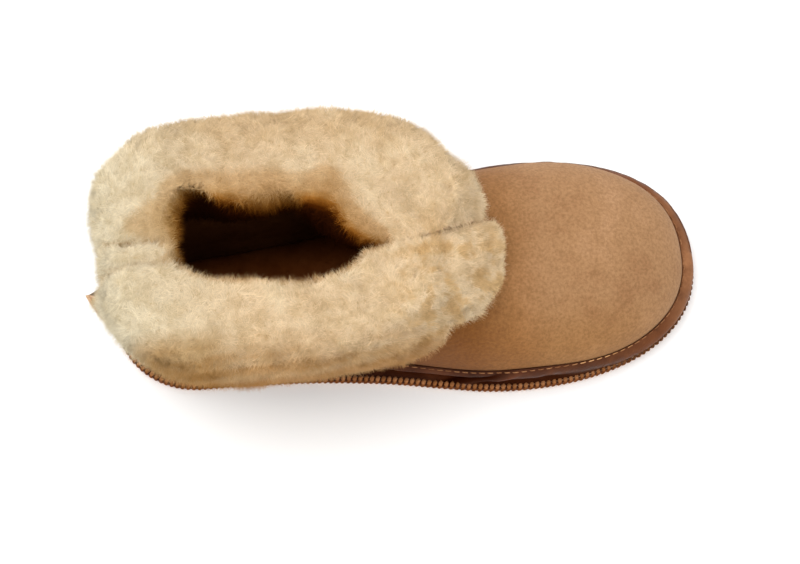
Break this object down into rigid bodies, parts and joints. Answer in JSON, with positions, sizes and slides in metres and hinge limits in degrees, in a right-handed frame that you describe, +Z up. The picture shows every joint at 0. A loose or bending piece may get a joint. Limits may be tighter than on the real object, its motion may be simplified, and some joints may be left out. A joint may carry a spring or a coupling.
{
  "type": "sheepskin slipper",
  "caption": "Low house slipper with a smooth rounded vamp, a thick turned-down wool collar split at front and back, a leather rand round the foot and a flat soft sole.",
  "frame": {"origin": "on the underside of the sole, on its centre line, halfway along its length", "axes": "+X from heel to toe, +Y to the slipper's left, +Z up"},
  "size_m": [0.2907, 0.1336, 0.1147],
  "materials": {
    "sole_suede": "napped orange-brown suede",
    "rand_leather": "smooth brown leather, slightly glossy",
    "upper_suede": "tan suede side of a sheepskin",
    "lining_wool": "short wool pile",
    "cuff_wool": "deep cream wool pile",
    "thong_leather": "dark brown leather thong"
  },
  "bodies": {
    "root": {"outsole": "sole_suede", "rand": "rand_leather", "upper": "upper_suede", "insole": "lining_wool", "cuff_near": "cuff_wool", "cuff_far": "cuff_wool", "back_strip": "cuff_wool", "heel_loop": "thong_leather"}
  },
  "joints": []
}
